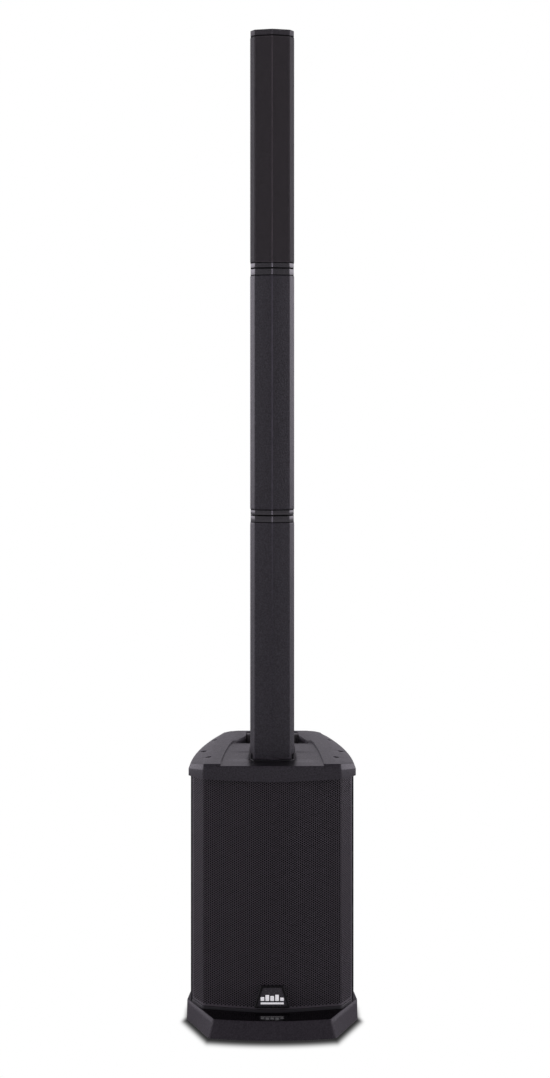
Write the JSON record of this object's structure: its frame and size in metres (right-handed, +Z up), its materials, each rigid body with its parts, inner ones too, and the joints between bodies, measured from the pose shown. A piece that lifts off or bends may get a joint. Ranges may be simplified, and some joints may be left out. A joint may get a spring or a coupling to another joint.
{
  "type": "column pa system",
  "caption": "Free-standing loudspeaker: a tapered subwoofer base with a carrying handle and a plug-in column whose top section holds small drivers behind a fine grille",
  "frame": {"origin": "on the floor under the middle of the footprint", "axes": "+X across, -Y towards the listener, +Z up along the column"},
  "size_m": [0.3456, 0.4238, 2],
  "materials": {
    "foot_tray": "satin moulded black",
    "rubber_feet": "matte",
    "foot_screws": "zinc plated",
    "kerb_trim": "satin",
    "cabinet_shell": "textured black paint over plywood",
    "front_baffle": "black stained board",
    "port_tube": "matte",
    "front_grille": "powder coated perforated steel",
    "grille_foam": "open cell foam",
    "badge_frame": "gloss",
    "badge_plate": "gloss",
    "badge_mark": "brushed",
    "top_cap": "fine textured",
    "cap_screws": "black oxide",
    "handle_tub": "matte",
    "handle_grip": "satin",
    "socket_bezel": "matte",
    "column_socket": "matte",
    "socket_contacts": "gold flash",
    "woofer_basket": "black paint",
    "woofer_magnet": "ferrite and steel",
    "woofer_surround": "matte",
    "woofer_spider": "treated cloth",
    "woofer_screws": "black oxide",
    "amp_panel": "black anodised",
    "amp_heatsink": "extruded",
    "amp_board": "solder mask",
    "power_supply": "mixed parts",
    "panel_screws": "black oxide",
    "input_jacks": "satin",
    "link_jack": "satin",
    "mains_inlet": "satin",
    "status_leds": "clear lens",
    "speaker_cables": "insulated wire",
    "woofer_cone": "doped pulp",
    "woofer_dust_cap": "doped pulp",
    "woofer_coil": "copper on former",
    "knob_mic": "soft touch",
    "knob_line": "soft touch",
    "knob_sub": "soft touch",
    "button_pair": "satin",
    "button_mode": "satin",
    "power_rocker": "satin",
    "lower_tube": "leather-grained",
    "lower_top_cap": "satin",
    "lower_bottom_cap": "satin",
    "lower_wiring": "contacts and copper loom",
    "middle_tube": "leather-grained",
    "middle_top_cap": "satin",
    "middle_bottom_cap": "satin",
    "middle_wiring": "contacts and copper loom",
    "top_shell": "textured",
    "top_grille": "fine woven cover",
    "top_end_cap": "satin",
    "top_bottom_cap": "satin",
    "top_wiring": "contacts and copper loom",
    "driver_frames": "black paint",
    "driver_magnets": "ferrite and steel",
    "driver_surrounds": "matte",
    "array_cones": "doped pulp"
  },
  "bodies": {
    "base": {"foot_tray": "foot_tray", "rubber_feet": "rubber_feet", "foot_screws": "foot_screws", "kerb_trim": "kerb_trim", "cabinet_shell": "cabinet_shell", "front_baffle": "front_baffle", "port_tube": "port_tube", "front_grille": "front_grille", "grille_foam": "grille_foam", "badge_frame": "badge_frame", "badge_plate": "badge_plate", "badge_mark": "badge_mark", "top_cap": "top_cap", "cap_screws": "cap_screws", "handle_tub": "handle_tub", "handle_grip": "handle_grip", "socket_bezel": "socket_bezel", "column_socket": "column_socket", "socket_contacts": "socket_contacts", "woofer_basket": "woofer_basket", "woofer_magnet": "woofer_magnet", "woofer_surround": "woofer_surround", "woofer_spider": "woofer_spider", "woofer_screws": "woofer_screws", "amp_panel": "amp_panel", "amp_heatsink": "amp_heatsink", "amp_board": "amp_board", "power_supply": "power_supply", "panel_screws": "panel_screws", "input_jacks": "input_jacks", "link_jack": "link_jack", "mains_inlet": "mains_inlet", "status_leds": "status_leds", "speaker_cables": "speaker_cables"},
    "woofer_piston": {"woofer_cone": "woofer_cone", "woofer_dust_cap": "woofer_dust_cap", "woofer_coil": "woofer_coil"},
    "mic_knob": {"knob_mic": "knob_mic"},
    "line_knob": {"knob_line": "knob_line"},
    "sub_knob": {"knob_sub": "knob_sub"},
    "pair_button": {"button_pair": "button_pair"},
    "mode_button": {"button_mode": "button_mode"},
    "rocker": {"power_rocker": "power_rocker"},
    "lower_section": {"lower_tube": "lower_tube", "lower_top_cap": "lower_top_cap", "lower_bottom_cap": "lower_bottom_cap", "lower_wiring": "lower_wiring"},
    "middle_section": {"middle_tube": "middle_tube", "middle_top_cap": "middle_top_cap", "middle_bottom_cap": "middle_bottom_cap", "middle_wiring": "middle_wiring"},
    "top_section": {"top_shell": "top_shell", "top_grille": "top_grille", "top_end_cap": "top_end_cap", "top_bottom_cap": "top_bottom_cap", "top_wiring": "top_wiring", "driver_frames": "driver_frames", "driver_magnets": "driver_magnets", "driver_surrounds": "driver_surrounds"},
    "array_pistons": {"array_cones": "array_cones"}
  },
  "joints": [
    {"name": "woofer_stroke", "type": "slide", "parent": "base", "child": "woofer_piston", "axis": [0, -1, 0], "range_m": [-0.005, 0.005], "stiffness_N_per_m": 2500, "deforming": ["woofer_surround", "woofer_spider"]},
    {"name": "mic_knob_turn", "type": "hinge", "parent": "base", "child": "mic_knob", "pos_m": [-0.042, 0.205, 0.415], "axis": [0, 1, 0], "range_deg": [-140, 140]},
    {"name": "line_knob_turn", "type": "hinge", "parent": "base", "child": "line_knob", "pos_m": [0, 0.205, 0.415], "axis": [0, 1, 0], "range_deg": [-140, 140]},
    {"name": "sub_knob_turn", "type": "hinge", "parent": "base", "child": "sub_knob", "pos_m": [0.042, 0.205, 0.415], "axis": [0, 1, 0], "range_deg": [-140, 140]},
    {"name": "pair_button_press", "type": "slide", "parent": "base", "child": "pair_button", "axis": [0, -1, 0], "range_m": [0, 0.0015], "stiffness_N_per_m": 400},
    {"name": "mode_button_press", "type": "slide", "parent": "base", "child": "mode_button", "axis": [0, -1, 0], "range_m": [0, 0.0015], "stiffness_N_per_m": 400},
    {"name": "power_rocker_tilt", "type": "hinge", "parent": "base", "child": "rocker", "pos_m": [0.03, 0.195, 0.15], "axis": [1, 0, 0], "range_deg": [-14, 0]},
    {"name": "lower_lift", "type": "slide", "parent": "base", "child": "lower_section", "axis": [0, 0, 1], "range_m": [0, 0.12]},
    {"name": "middle_lift", "type": "slide", "parent": "lower_section", "child": "middle_section", "axis": [0, 0, 1], "range_m": [0, 0.12]},
    {"name": "top_lift", "type": "slide", "parent": "middle_section", "child": "top_section", "axis": [0, 0, 1], "range_m": [0, 0.12]},
    {"name": "array_stroke", "type": "slide", "parent": "top_section", "child": "array_pistons", "axis": [0, -1, 0], "range_m": [-0.001, 0.001], "stiffness_N_per_m": 2500, "deforming": ["driver_surrounds"]}
  ]
}
